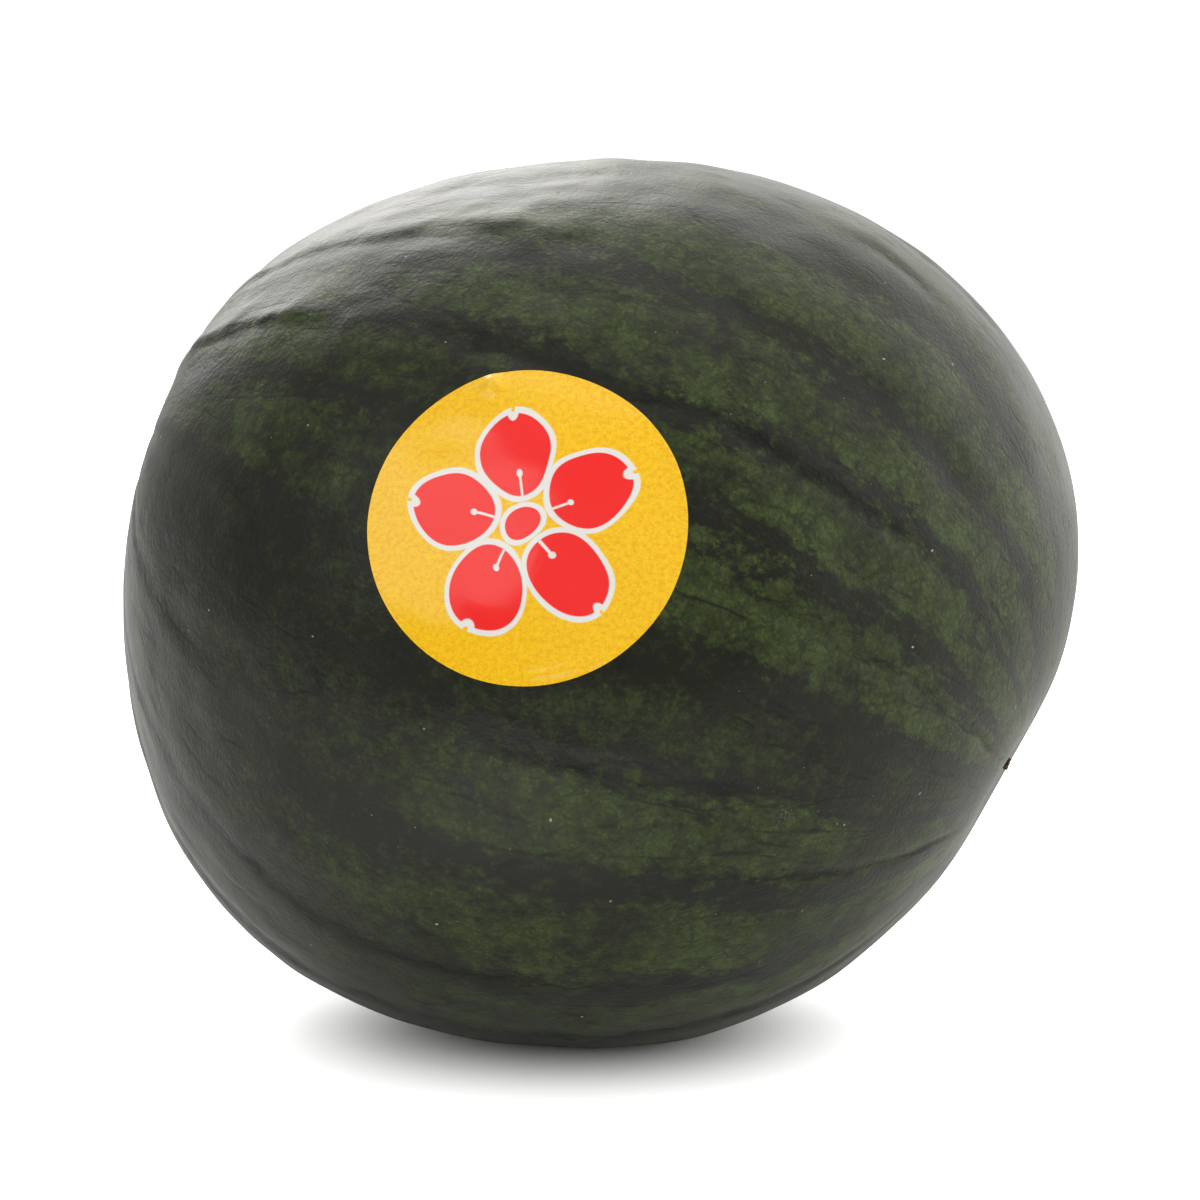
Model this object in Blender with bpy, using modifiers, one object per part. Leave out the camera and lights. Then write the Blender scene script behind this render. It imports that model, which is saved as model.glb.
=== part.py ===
"""A whole watermelon lying on its side, as it rests on a table.

The blossom end points to the right, dips below the horizontal and comes a little towards the
front; the stem end is at the upper left. A dry blossom scar sits in the hollow at one end, a
stem stub cut almost flush in the hollow at the other, and a round paper label on the front.

Metres, +Z up, +X to the right, -Y to the front. The origin is on the table, in the middle of
the fruit's outline. The fruit's own frame has its core along local Z (blossom end at +Z), the
crown of the rind towards local X and the front flank towards local Y.
"""

import math

import bmesh
import bpy
from mathutils import Euler, Vector

# The fruit: mean radius, and how it lies.
MEAN_RADIUS = 0.119
CORE_HEIGHT = 0.113
CORE_OFFSET_X = -0.0022
LYING = Euler((math.radians(180), math.radians(-69), math.radians(-12.5)))

# Broad lobes of the outline in the plane of core and crown: how many bulges each puts round
# the outline, its height as a share of the mean radius, and the angle from the blossom end
# towards the crown at which it bulges most.
OVAL = (2, 0.043, math.radians(40.5))
TRIANGLE = (3, 0.019, math.radians(41.5))
SQUARE = (4, 0.0115, math.radians(-31))
PENTAGON = (5, 0.008, math.radians(26))

# Hollows at the two ends: depth, and the angle from the core over which each fades.
BLOSSOM_HOLLOW = (0.0034, math.radians(9))
STEM_HOLLOW = (0.0030, math.radians(13))

# Ribs: shallow furrows that run from end to end. Azimuths are degrees round the core, from
# the crown towards the front flank.
FURROWS = (-3, 31, 50, 69, 95, 109, 132, 158, 184, 208, 236, 262, 290, 317)
FURROW_DEPTH = 0.0010
FURROW_WIDTH = math.radians(4)

RIND_SEGMENTS = 72
RIND_RINGS = 44

# Resting spot: everything below the table's surface is pressed flat.
TABLE_BLOCK = 0.2

# Round paper label.
LABEL_RADIUS = 0.0385
LABEL_THICKNESS = 0.0003
LABEL_FROM_BLOSSOM_END = math.radians(92.2)
LABEL_AZIMUTH = math.radians(72.1)
LABEL_SEGMENTS = 48
LABEL_RINGS = 6

# Dry remains at the two ends.
SCAR_RADIUS = 0.0018
SCAR_HEIGHT = 0.0014
SCAR_FROM_CORE = math.radians(1.2)
STUB_RADIUS = 0.0042
STUB_LENGTH = 0.0048
END_PIECE_STEPS = 20

# Touching pieces keep this gap; points this close are one; a corner sharper than this shows.
GAP = 0.0003
WELD = 1e-6
SHARP_CORNER = math.radians(30)


def bulge(direction, lobe):
    """Share of the mean radius that one broad lobe adds in a direction of the fruit's frame."""
    count, height, heading = lobe
    crown, _, core = direction
    spread = math.hypot(crown, core) ** count
    return height * spread * math.cos(count * (math.atan2(crown, core) - heading))


def hollow(angle, shape):
    depth, reach = shape
    return depth * math.exp(-((angle / reach) ** 2))


def furrow(azimuth, middle):
    """How much of a furrow's depth is there at an azimuth, from 0 to 1."""
    away = math.remainder(azimuth - middle, 2 * math.pi)
    return math.exp(-((away / FURROW_WIDTH) ** 2))


def rind_radius(direction):
    """Distance from the middle of the fruit to its rind, along a unit vector of its frame."""
    from_blossom_end = math.acos(max(-1.0, min(1.0, direction.z)))
    azimuth = math.atan2(direction.y, direction.x)
    radius = MEAN_RADIUS
    for lobe in (OVAL, TRIANGLE, SQUARE, PENTAGON):
        radius += MEAN_RADIUS * bulge(direction, lobe)
    radius -= hollow(from_blossom_end, BLOSSOM_HOLLOW)
    radius -= hollow(math.pi - from_blossom_end, STEM_HOLLOW)
    fade = math.sin(from_blossom_end)
    for degrees in FURROWS:
        radius -= FURROW_DEPTH * fade * furrow(azimuth, math.radians(degrees))
    return radius


def clear_scene():
    for obj in list(bpy.data.objects):
        bpy.data.objects.remove(obj, do_unlink=True)


def add_collection(name):
    collection = bpy.data.collections.new(name)
    bpy.context.scene.collection.children.link(collection)
    return collection


def add_material(name, colour, roughness):
    material = bpy.data.materials.new(name)
    material.use_nodes = True
    shader = material.node_tree.nodes["Principled BSDF"]
    shader.inputs["Base Color"].default_value = (*colour, 1.0)
    shader.inputs["Roughness"].default_value = roughness
    shader.inputs["Metallic"].default_value = 0.0
    return material


def add_object(name, shape, collection, material=None):
    """Turn a bmesh into a smooth-shaded object of a collection, and free the bmesh."""
    mesh = bpy.data.meshes.new(name)
    shape.to_mesh(mesh)
    shape.free()
    mesh.shade_smooth()
    mesh.set_sharp_from_angle(angle=SHARP_CORNER)
    if material:
        mesh.materials.append(material)
    obj = bpy.data.objects.new(name, mesh)
    collection.objects.link(obj)
    return obj


def build_body(collection, cutters):
    """The fruit: a sphere shaped by lobes, hollows and furrows, then pressed flat below."""
    shape = bmesh.new()
    bmesh.ops.create_uvsphere(
        shape, u_segments=RIND_SEGMENTS, v_segments=RIND_RINGS, radius=1.0
    )
    for vertex in shape.verts:
        direction = vertex.co.normalized()
        vertex.co = direction * rind_radius(direction)
    rind = add_material("rind", (0.030, 0.042, 0.024), 0.35)
    body = add_object("watermelon_body", shape, collection, rind)
    body.location = (CORE_OFFSET_X, 0.0, CORE_HEIGHT)
    body.rotation_euler = LYING

    block = bmesh.new()
    bmesh.ops.create_cube(block, size=TABLE_BLOCK)
    table = add_object("table_block", block, cutters)
    table.location = (0.0, 0.0, -TABLE_BLOCK / 2)
    table.hide_render = True
    table.display_type = "WIRE"
    press = body.modifiers.new("resting_spot", "BOOLEAN")
    press.operation = "DIFFERENCE"
    press.solver = "EXACT"
    press.object = table
    return body


def build_label(collection, body):
    """A thin disc that follows the rind, laid out by its distance from the label's middle."""
    middle = Vector(
        (
            math.sin(LABEL_FROM_BLOSSOM_END) * math.cos(LABEL_AZIMUTH),
            math.sin(LABEL_FROM_BLOSSOM_END) * math.sin(LABEL_AZIMUTH),
            math.cos(LABEL_FROM_BLOSSOM_END),
        )
    )
    across = Vector((0.0, 0.0, 1.0)).cross(middle).normalized()
    along = middle.cross(across)
    rind_here = rind_radius(middle)

    shape = bmesh.new()
    bmesh.ops.create_circle(
        shape, cap_ends=True, segments=LABEL_SEGMENTS, radius=LABEL_RADIUS
    )
    shape.faces.ensure_lookup_table()
    inner = shape.faces[0]
    for _ in range(LABEL_RINGS - 1):
        bmesh.ops.inset_individual(
            shape, faces=[inner], thickness=LABEL_RADIUS / LABEL_RINGS
        )
    bmesh.ops.poke(shape, faces=[inner])
    for vertex in shape.verts:
        flat = vertex.co.copy()
        arc = flat.length / rind_here
        heading = across * flat.x + along * flat.y
        direction = middle * math.cos(arc)
        if arc > 0:
            direction += heading.normalized() * math.sin(arc)
        vertex.co = direction * (rind_radius(direction) + GAP)
    bmesh.ops.recalc_face_normals(shape, faces=shape.faces[:])
    if sum(face.normal.dot(middle) for face in shape.faces) < 0:
        bmesh.ops.reverse_faces(shape, faces=shape.faces[:])
    paper = add_material("label_paper", (0.91, 0.54, 0.02), 0.45)
    label = add_object("round_label", shape, collection, paper)
    label.parent = body
    paper_thickness = label.modifiers.new("paper_thickness", "SOLIDIFY")
    paper_thickness.thickness = LABEL_THICKNESS
    paper_thickness.offset = 1.0
    return label


def turned(profile):
    """A closed solid turned round Z from (radius, height) points, lowest first."""
    shape = bmesh.new()
    points = [shape.verts.new((radius, 0.0, height)) for radius, height in profile]
    edges = [shape.edges.new(pair) for pair in zip(points, points[1:])]
    bmesh.ops.spin(
        shape,
        geom=points + edges,
        cent=(0.0, 0.0, 0.0),
        axis=(0.0, 0.0, 1.0),
        angle=2 * math.pi,
        steps=END_PIECE_STEPS,
        use_merge=True,
    )
    bmesh.ops.remove_doubles(shape, verts=shape.verts[:], dist=WELD)
    bmesh.ops.recalc_face_normals(shape, faces=shape.faces[:])
    return shape


def build_blossom_scar(collection, body):
    """A tiny dry button with a dished top, in the hollow at the blossom end."""
    profile = (
        (0.0, 0.0),
        (0.70 * SCAR_RADIUS, 0.0),
        (SCAR_RADIUS, 0.30 * SCAR_HEIGHT),
        (0.86 * SCAR_RADIUS, 0.78 * SCAR_HEIGHT),
        (0.50 * SCAR_RADIUS, SCAR_HEIGHT),
        (0.0, 0.80 * SCAR_HEIGHT),
    )
    cork = add_material("dry_cork", (0.16, 0.075, 0.03), 0.85)
    scar = add_object("blossom_scar", turned(profile), collection, cork)
    scar.parent = body
    outwards = Vector((math.sin(SCAR_FROM_CORE), 0.0, math.cos(SCAR_FROM_CORE)))
    scar.location = outwards * (rind_radius(outwards) + GAP)
    return scar


def build_stem_stub(collection, body):
    """The last of the stem, cut almost flush, flaring where it met the fruit."""
    profile = (
        (0.0, 0.0),
        (STUB_RADIUS, 0.0),
        (0.97 * STUB_RADIUS, 0.12 * STUB_LENGTH),
        (0.74 * STUB_RADIUS, 0.42 * STUB_LENGTH),
        (0.72 * STUB_RADIUS, 0.88 * STUB_LENGTH),
        (0.58 * STUB_RADIUS, STUB_LENGTH),
        (0.0, 0.95 * STUB_LENGTH),
    )
    straw = add_material("dry_stem", (0.21, 0.15, 0.075), 0.85)
    stub = add_object("stem_stub", turned(profile), collection, straw)
    stub.parent = body
    stub.location = (0.0, 0.0, -rind_radius(Vector((0.0, 0.0, -1.0))) - GAP)
    stub.rotation_euler = (math.pi, 0.0, 0.0)
    return stub


def main():
    clear_scene()
    fruit = add_collection("watermelon")
    cutters = add_collection("cutters")
    body = build_body(fruit, cutters)
    build_blossom_scar(fruit, body)
    build_stem_stub(fruit, body)
    build_label(fruit, body)


main()
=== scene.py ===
"""A whole watermelon with a round label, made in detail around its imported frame.

The fruit lies on its side: its core runs from the blossom end at the right to the stem end at
the upper left. A place on the rind is named by its angle from the blossom end, seen from the
middle of the fruit, and by its azimuth round the core, from the crown towards the front.
"""

import math
from collections import namedtuple

import bmesh
import bpy
from bpy.props import FloatProperty, FloatVectorProperty, IntProperty, PointerProperty
from mathutils import Euler, Matrix, Vector, noise
from mathutils.bvhtree import BVHTree


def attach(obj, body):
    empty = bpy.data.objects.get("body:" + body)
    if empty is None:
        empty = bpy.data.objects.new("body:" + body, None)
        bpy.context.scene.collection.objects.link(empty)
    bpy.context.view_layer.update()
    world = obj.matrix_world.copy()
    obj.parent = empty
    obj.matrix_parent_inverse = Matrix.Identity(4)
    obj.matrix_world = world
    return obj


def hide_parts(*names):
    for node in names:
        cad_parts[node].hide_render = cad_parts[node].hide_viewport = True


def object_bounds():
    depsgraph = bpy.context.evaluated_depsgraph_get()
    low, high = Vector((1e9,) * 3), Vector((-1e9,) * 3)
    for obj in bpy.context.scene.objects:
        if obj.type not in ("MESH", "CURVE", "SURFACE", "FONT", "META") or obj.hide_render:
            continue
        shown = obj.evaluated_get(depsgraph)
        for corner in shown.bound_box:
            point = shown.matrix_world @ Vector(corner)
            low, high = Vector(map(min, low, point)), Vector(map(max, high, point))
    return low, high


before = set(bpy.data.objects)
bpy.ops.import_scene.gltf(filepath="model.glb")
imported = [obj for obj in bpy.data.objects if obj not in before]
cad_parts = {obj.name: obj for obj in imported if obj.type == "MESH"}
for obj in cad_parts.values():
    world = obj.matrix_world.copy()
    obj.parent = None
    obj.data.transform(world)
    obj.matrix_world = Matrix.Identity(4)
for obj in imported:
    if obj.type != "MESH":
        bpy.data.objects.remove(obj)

bl_info = {
    "name": "Watermelon with a round label",
    "version": (1, 0, 0),
    "blender": (4, 5, 0),
    "location": "3D View > Sidebar > Melon",
    "description": "Builds a whole watermelon with a round label, and a studio round it",
    "category": "Object",
}

CAD_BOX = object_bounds()
ROOT = "root"
FULL_TURN = 2 * math.pi

# How the fruit lies, and the broad lobes and end hollows of its outline, as the frame has them.
CORE = Vector((-0.0022, 0.0, 0.113))
LYING = Euler((math.radians(180), math.radians(-69), math.radians(-12.5)))
Lobe = namedtuple("Lobe", "count height heading")
LOBES = (
    Lobe(2, 0.043, math.radians(40.5)),
    Lobe(3, 0.019, math.radians(41.5)),
    Lobe(4, 0.0115, math.radians(-31)),
    Lobe(5, 0.008, math.radians(26)),
)
Hollow = namedtuple("Hollow", "depth reach")
BLOSSOM_HOLLOW = Hollow(0.0034, math.radians(9))
STEM_HOLLOW = Hollow(0.0030, math.radians(13))

# Furrows between the ribs. Azimuth, width, start and end are degrees; depth and step are
# shares of the furrow depth setting. A step raises the side nearer the crown and lowers the
# other, as where one rib's flat side meets the next.
Furrow = namedtuple("Furrow", "azimuth width start end depth step")
FURROWS = tuple(
    Furrow(*each)
    for each in (
        (-4, 3.0, 46, 84, 0.25, 0.25), (11, 2.4, 56, 80, 0.35, 0.25),
        (12, 5.0, 95, 172, 0.3, 0.3), (32, 2.6, 94, 160, 0.05, 0.34),
        (31, 7.0, 100, 168, -0.7, 0.0), (34, 4.5, 40, 100, 0.7, 0.5),
        (54, 2.4, 122, 164, -0.10, 0.36), (52, 7.0, 114, 176, -0.9, 0.0),
        (52, 1.5, 40, 122, 0.35, 0.2), (70, 1.5, 10, 76, 0.5, 0.2),
        (95, 1.6, 40, 92, 0.3, 0.3), (84, 4.0, 118, 172, 0.15, 0.18),
        (109, 1.8, 14, 66, 0.5, -0.3), (108, 3.0, 116, 172, 0.15, -0.15),
        (132, 2.4, 54, 172, 0.12, -0.12), (150, 2.6, 18, 168, 0.45, -0.2),
        (174, 3.4, 12, 170, 0.9, 0.3), (197, 3.0, 20, 170, 1.0, -0.3),
        (219, 3.6, 10, 166, 0.8, 0.4), (243, 2.8, 16, 170, 1.1, 0.3),
        (266, 3.6, 14, 168, 0.8, -0.4), (290, 3.0, 12, 170, 1.0, 0.3),
        (312, 3.2, 20, 172, 0.9, -0.3), (335, 3.4, 12, 168, 0.8, 0.4),
    )
)
# A furrow begins and ends over FURROW_FADE degrees. Those narrower than VEINED_WIDTH degrees
# carry a dark vein, VEIN_WIDTH degrees wide, that shakes by a share of a radian.
FURROW_FADE = 14
VEINED_WIDTH = 3.1
VEIN_WIDTH = 0.75
VEIN_SHAKE = 0.17

# How far ribs, bands and veins wander together and how far a furrow wobbles by itself, in
# radians round the core, and how softly the foot is pressed flat, in metres.
WANDER = 0.14
FURROW_WOBBLE = 0.055
FOOT_SOFTNESS = 0.0012

# Pale mottled bands: azimuth in degrees and strength. The rind is dark half way between them.
PALE_BANDS = (
    (-14, 0.8), (9, 0.7), (28, 0.9), (44, 1.0), (58, 0.9), (72, 0.9), (88, 0.5), (102, 0.8),
    (123, 1.0), (143, 0.9), (161, 0.8), (180, 1.0), (199, 0.7), (221, 0.9), (240, 0.8),
    (257, 1.0), (279, 0.7), (298, 0.9), (318, 1.0),
)


class Value:
    """An output socket. Arithmetic on it adds Math nodes to its tree."""

    def __init__(self, graph, socket):
        self.graph = graph
        self.socket = socket

    def math(self, operation, *others):
        return self.graph.add("ShaderNodeMath", {"operation": operation}, (self, *others))

    def __add__(self, other):
        return self.math("ADD", other)

    def __sub__(self, other):
        return self.math("SUBTRACT", other)

    def __rsub__(self, other):
        return self.graph.math("SUBTRACT", other, self)

    def __mul__(self, other):
        return self.math("MULTIPLY", other)

    def __truediv__(self, other):
        return self.math("DIVIDE", other)

    def __rtruediv__(self, other):
        return self.graph.math("DIVIDE", other, self)

    def __pow__(self, other):
        return self.math("POWER", other)

    def __neg__(self):
        return self.math("MULTIPLY", -1.0)

    __radd__ = __add__
    __rmul__ = __mul__


class Graph:
    """A node tree that is filled by expressions."""

    def __init__(self, tree):
        self.tree = tree

    def add(self, kind, settings=None, inputs=(), output=0):
        """Add a node: its settings first, then values or links by socket name or position."""
        node = self.tree.nodes.new(kind)
        for name, setting in (settings or {}).items():
            if name == "curve":
                fill_curve(node.mapping, setting)
            else:
                setattr(node, name, setting)
        pairs = inputs.items() if isinstance(inputs, dict) else enumerate(inputs)
        for key, given in pairs:
            self.feed(node, key, given)
        return Value(self, node.outputs[output])

    def feed(self, node, key, given):
        """Link a value to an input of a node, or set a constant there."""
        socket = node.inputs[key]
        if isinstance(given, Value):
            self.tree.links.new(given.socket, socket)
        else:
            socket.default_value = given

    def math(self, operation, *values):
        return self.add("ShaderNodeMath", {"operation": operation}, values)

    def vector(self, operation, *values, output=0):
        return self.add("ShaderNodeVectorMath", {"operation": operation}, values, output)

    def scaled(self, vector, factor):
        inputs = {"Vector": vector, "Scale": factor}
        return self.add("ShaderNodeVectorMath", {"operation": "SCALE"}, inputs)

    def split(self, vector):
        """The x, y and z of a vector."""
        return [self.add("ShaderNodeSeparateXYZ", {}, (vector,), i) for i in range(3)]

    def join(self, x, y, z):
        return self.add("ShaderNodeCombineXYZ", {}, (x, y, z))

    def ramp(self, value, low, high):
        """0 below low and 1 above high, with a smooth rise between."""
        settings = {"interpolation_type": "SMOOTHSTEP"}
        return self.add("ShaderNodeMapRange", settings, (value, low, high, 0.0, 1.0))

    def bell(self, value):
        """1 where the value is 0, falling to 0 on both sides."""
        return self.math("EXPONENT", -(value * value))

    def noise(self, vector, scale, detail=2.0, roughness=0.5, distortion=0.0):
        inputs = {"Vector": vector, "Scale": scale, "Detail": detail}
        inputs |= {"Roughness": roughness, "Distortion": distortion}
        return self.add("ShaderNodeTexNoise", {"noise_dimensions": "3D"}, inputs)

    def cells(self, vector, scale, feature="F1"):
        """The distance to a cell's middle, or to its edge."""
        settings = {"feature": feature, "voronoi_dimensions": "3D"}
        return self.add("ShaderNodeTexVoronoi", settings, {"Vector": vector, "Scale": scale})

    def warped(self, vector, scale, amount, detail=2.0):
        """A space pushed about by noise."""
        inputs = {"Vector": vector, "Scale": scale, "Detail": detail}
        push = self.add("ShaderNodeTexNoise", {}, inputs, 1)
        centred = self.vector("SUBTRACT", push, (0.5, 0.5, 0.5))
        return self.vector("ADD", vector, self.scaled(centred, amount))

    def blend(self, factor, first, second):
        """A colour between two colours."""
        settings = {"data_type": "RGBA", "blend_type": "MIX", "clamp_factor": True}
        inputs = {0: factor, 6: colour4(first), 7: colour4(second)}
        return self.add("ShaderNodeMix", settings, inputs, 2)


def colour4(colour):
    return colour if isinstance(colour, Value) else (*colour[:3], 1.0)


def fill_curve(mapping, points):
    """Set the points of a curve, given as (place, height) pairs."""
    curve = mapping.curves[0]
    while len(curve.points) < len(points):
        curve.points.new(0.5, 0.5)
    for point, place in zip(curve.points, points):
        point.location = place
    mapping.update()


# --- the shape of the fruit


def polar(g, direction):
    """The angle from the blossom end and the azimuth of a unit vector of the fruit's frame."""
    crown, front, core = g.split(direction)
    from_bloom = core.math("ARCCOSINE")
    azimuth = front.math("ARCTAN2", crown)
    return from_bloom, azimuth


def wandering(g, direction, azimuth):
    """The azimuth with the slow wander that ribs, bands and veins share."""
    drift = g.noise(direction, 2.0, 1.0) - 0.5
    return azimuth + drift * WANDER


def lobe_height(g, direction, lobe):
    """Share of the mean radius that one broad lobe adds in a direction."""
    crown, _, core = g.split(direction)
    spread = (crown * crown + core * core) ** (lobe.count / 2)
    heading = crown.math("ARCTAN2", core)
    return lobe.height * spread * ((heading - lobe.heading) * lobe.count).math("COSINE")


def furrow_profile(g, from_bloom, azimuth, furrow):
    """How deep a furrow is at a place, as a share of the furrow depth setting."""
    away = (azimuth - math.radians(furrow.azimuth)).math("WRAP", math.pi, -math.pi)
    across = away / math.radians(furrow.width)
    start, end, fade = (math.radians(a) for a in (furrow.start, furrow.end, FURROW_FADE))
    begun = g.ramp(from_bloom, start, start + fade)
    over = g.ramp(from_bloom, end - fade, end)
    along = begun * (1.0 - over)
    shape = furrow.depth + across * (2 * furrow.step)
    return g.bell(across) * shape * along


def rind_tree():
    """Geometry nodes: a sphere shaped by lobes, hollows, furrows and ripples, pressed flat
    where it rests."""
    g, given = geometry_graph(
        "Rind shape",
        Int=("Segments", "Rings"),
        Float=("Mean Radius", "Furrow Depth", "Wave Height", "Ripple Height"),
        Material=("Material",),
    )
    inputs = {"Segments": given["Segments"], "Rings": given["Rings"], "Radius": 1.0}
    sphere = g.add("GeometryNodeMeshUVSphere", {}, inputs)
    direction = g.vector("NORMALIZE", g.add("GeometryNodeInputPosition"))
    from_bloom, azimuth = polar(g, direction)
    azimuth = wandering(g, direction, azimuth)

    share = 1.0
    for lobe in LOBES:
        share = share + lobe_height(g, direction, lobe)
    radius = given["Mean Radius"] * share
    blossom_side = g.bell(from_bloom / BLOSSOM_HOLLOW.reach)
    stem_side = g.bell((math.pi - from_bloom) / STEM_HOLLOW.reach)
    radius = radius - blossom_side * BLOSSOM_HOLLOW.depth - stem_side * STEM_HOLLOW.depth

    wobble = g.noise(streaks(g, direction, 0.8), 11.0, 3.0, 0.55) - 0.5
    wavy = azimuth + wobble * FURROW_WOBBLE
    uneven = 0.65 + 0.7 * g.ramp(g.noise(direction, 7.0, 1.0), 0.35, 0.65)
    furrows = 0.0
    for furrow in FURROWS:
        furrows = furrows + furrow_profile(g, from_bloom, wavy, furrow)
    radius = radius - furrows * uneven * given["Furrow Depth"]

    calm_ends = from_bloom.math("SINE")
    waves = g.noise(direction, 4.5, 1.0) - 0.5
    ripples = g.noise(streaks(g, direction, 0.7), 11.0, 1.0, 0.4) - 0.5
    stemward = 0.35 + 0.65 * g.ramp(from_bloom, math.radians(60), math.radians(120))
    radius = radius + waves * given["Wave Height"] * calm_ends
    radius = radius + ripples * given["Ripple Height"] * calm_ends * stemward

    outline = g.scaled(direction, radius)
    turn = {"rotation_type": "EULER_XYZ"}
    lying = g.add("ShaderNodeVectorRotate", turn, {"Vector": outline, "Rotation": LYING})
    x, y, z = g.split(g.vector("ADD", lying, CORE))
    rests = g.join(x, y, z.math("SMOOTH_MAX", 0.0, FOOT_SOFTNESS))
    inputs = {"Geometry": sphere, "Position": rests}
    placed = g.add("GeometryNodeSetPosition", {}, inputs)
    finish_tree(g, placed, given["Material"])
    return g.tree


def streaks(g, direction, stretch):
    """A space whose second direction runs along the ribs, so that a pattern in it is drawn
    out from end to end by 1 / stretch and gathers at both ends."""
    crown, front, _ = g.split(direction)
    from_bloom, _ = polar(g, direction)
    off_core = (crown * crown + front * front).math("SQRT").math("MAXIMUM", 0.001)
    return g.join(crown / off_core, front / off_core, from_bloom * stretch)


def geometry_graph(name, **kinds):
    """A geometry tree with named inputs of each kind, and those inputs as values."""
    tree = bpy.data.node_groups.new(name, "GeometryNodeTree")
    tree.interface.new_socket("Geometry", in_out="OUTPUT", socket_type="NodeSocketGeometry")
    labels = [(label, kind) for kind, names in kinds.items() for label in names]
    for label, kind in labels:
        tree.interface.new_socket(label, in_out="INPUT", socket_type="NodeSocket" + kind)
    g = Graph(tree)
    node = tree.nodes.new("NodeGroupInput")
    return g, {label: Value(g, node.outputs[label]) for label, _ in labels}


def finish_tree(g, geometry, material):
    """Shade smooth, realize instances and set the material, and make that the output."""
    smooth = g.add("GeometryNodeSetShadeSmooth", {}, {"Geometry": geometry})
    real = g.add("GeometryNodeRealizeInstances", {}, {"Geometry": smooth})
    painted = g.add("GeometryNodeSetMaterial", {}, {"Geometry": real, "Material": material})
    output = g.tree.nodes.new("NodeGroupOutput")
    g.tree.links.new(painted.socket, output.inputs["Geometry"])


def baked(name, tree, settings, **others):
    """Run a geometry tree and keep its result as a plain mesh object. Its inputs come from
    the settings of the same names and from the others."""
    obj = bpy.data.objects.new(name, bpy.data.meshes.new(name))
    bpy.context.scene.collection.objects.link(obj)
    modifier = obj.modifiers.new(tree.name, "NODES")
    modifier.node_group = tree
    for item in tree.interface.items_tree:
        if item.in_out == "INPUT":
            setting = item.name.lower().replace(" ", "_")
            given = others[setting] if setting in others else getattr(settings, setting)
            modifier[item.identifier] = given
    obj.update_tag()
    graph = bpy.context.evaluated_depsgraph_get()
    mesh = bpy.data.meshes.new_from_object(obj.evaluated_get(graph))
    obj.modifiers.remove(modifier)
    obj.data = mesh
    mesh.name = name
    return obj


def mesh_object(name, shape, material):
    """Turn a bmesh into a smooth-shaded object at the origin, and free the bmesh."""
    mesh = bpy.data.meshes.new(name)
    shape.to_mesh(mesh)
    shape.free()
    mesh.shade_smooth()
    mesh.materials.append(material)
    obj = bpy.data.objects.new(name, mesh)
    bpy.context.scene.collection.objects.link(obj)
    return obj


def settle(piece, node):
    """Hand a finished piece to the frame, in place of its CAD node."""
    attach(piece, ROOT)
    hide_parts(node)


def own_direction(from_bloom, azimuth):
    """The direction from the middle of the fruit to a place on the rind, in its own frame."""
    sine = math.sin(from_bloom)
    return (sine * math.cos(azimuth), sine * math.sin(azimuth), math.cos(from_bloom))


def place_on_rind(from_bloom, azimuth):
    """The same direction in the row's frame."""
    return LYING.to_matrix() @ Vector(own_direction(from_bloom, azimuth))


def rind_surface():
    """The finished rind as a tree that rays can be cast at."""
    graph = bpy.context.evaluated_depsgraph_get()
    return BVHTree.FromObject(bpy.data.objects["rind"], graph)


def rind_radius(surface, direction):
    """How far the rind is from the middle of the fruit in a direction."""
    hit, _, _, distance = surface.ray_cast(CORE, direction)
    if hit is None:
        raise RuntimeError("a ray from the middle of the fruit missed the rind")
    return distance


# --- the small pieces

# Where the label's middle is, how finely it is divided, how many times its height is evened
# out, and its least gap to the rind.
LABEL_FROM_BLOSSOM_END = math.radians(92.2)
LABEL_AZIMUTH = math.radians(72.1)
LABEL_SEGMENTS = 224
LABEL_RINGS = 80
LABEL_SMOOTHING = 24
LABEL_CLEARANCE = 0.00012
LABEL_SHARP_CORNER = math.radians(50)

# Creases near the label's edge: degrees round the label and how many they spread over, then
# place and width in label radii.
Crease = namedtuple("Crease", "heading spread reach width height")
LABEL_CREASES = (
    Crease(106, 3.4, 0.930, 0.060, 0.00190),
    Crease(113, 5.0, 0.985, 0.028, 0.00030),
    Crease(-74, 12.0, 0.93, 0.030, 0.00045),
    Crease(-58, 7.0, 0.965, 0.024, 0.00032),
    Crease(24, 8.0, 0.985, 0.025, 0.00030),
    Crease(-30, 9.0, 0.985, 0.025, 0.00028),
    Crease(200, 10.0, 0.97, 0.040, 0.00020),
)

# Half outlines of the end pieces, from the underside to the middle of the top: shares of the
# radius and of the height.
SCAR_PROFILE = (
    (0.0, -0.3), (0.75, -0.3), (1.0, 0.25), (0.88, 0.75), (0.55, 1.0), (0.30, 0.86), (0.0, 0.78)
)
STUB_PROFILE = (
    (0.0, -0.12), (1.0, -0.12), (0.96, 0.12), (0.78, 0.38), (0.73, 0.86), (0.66, 0.97),
    (0.42, 0.96), (0.0, 0.90),
)
SCAR_FROM_CORE = math.radians(1.2)
END_SEGMENTS = 96
END_RINGS = 48

# What goes round an end piece: how many times, how strongly, and its turn in radians.
Swell = namedtuple("Swell", "count height turn")
SCAR_STUMPS = (Swell(5, 0.5, 1.1), Swell(11, 0.3, 0.0))
STUB_RIDGES = (Swell(5, 0.5, 0.4), Swell(9, 0.25, 2.0))

# Crumbling and tearing: size of the space, then the noise's falloff, step and octaves.
CRUMBS = (3.0, 0.7, 2.2, 4)
FIBRES = (1.7, 0.8, 2.1, 3)
TEARS = (5.0, 0.8, 2.1, 4)


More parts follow.
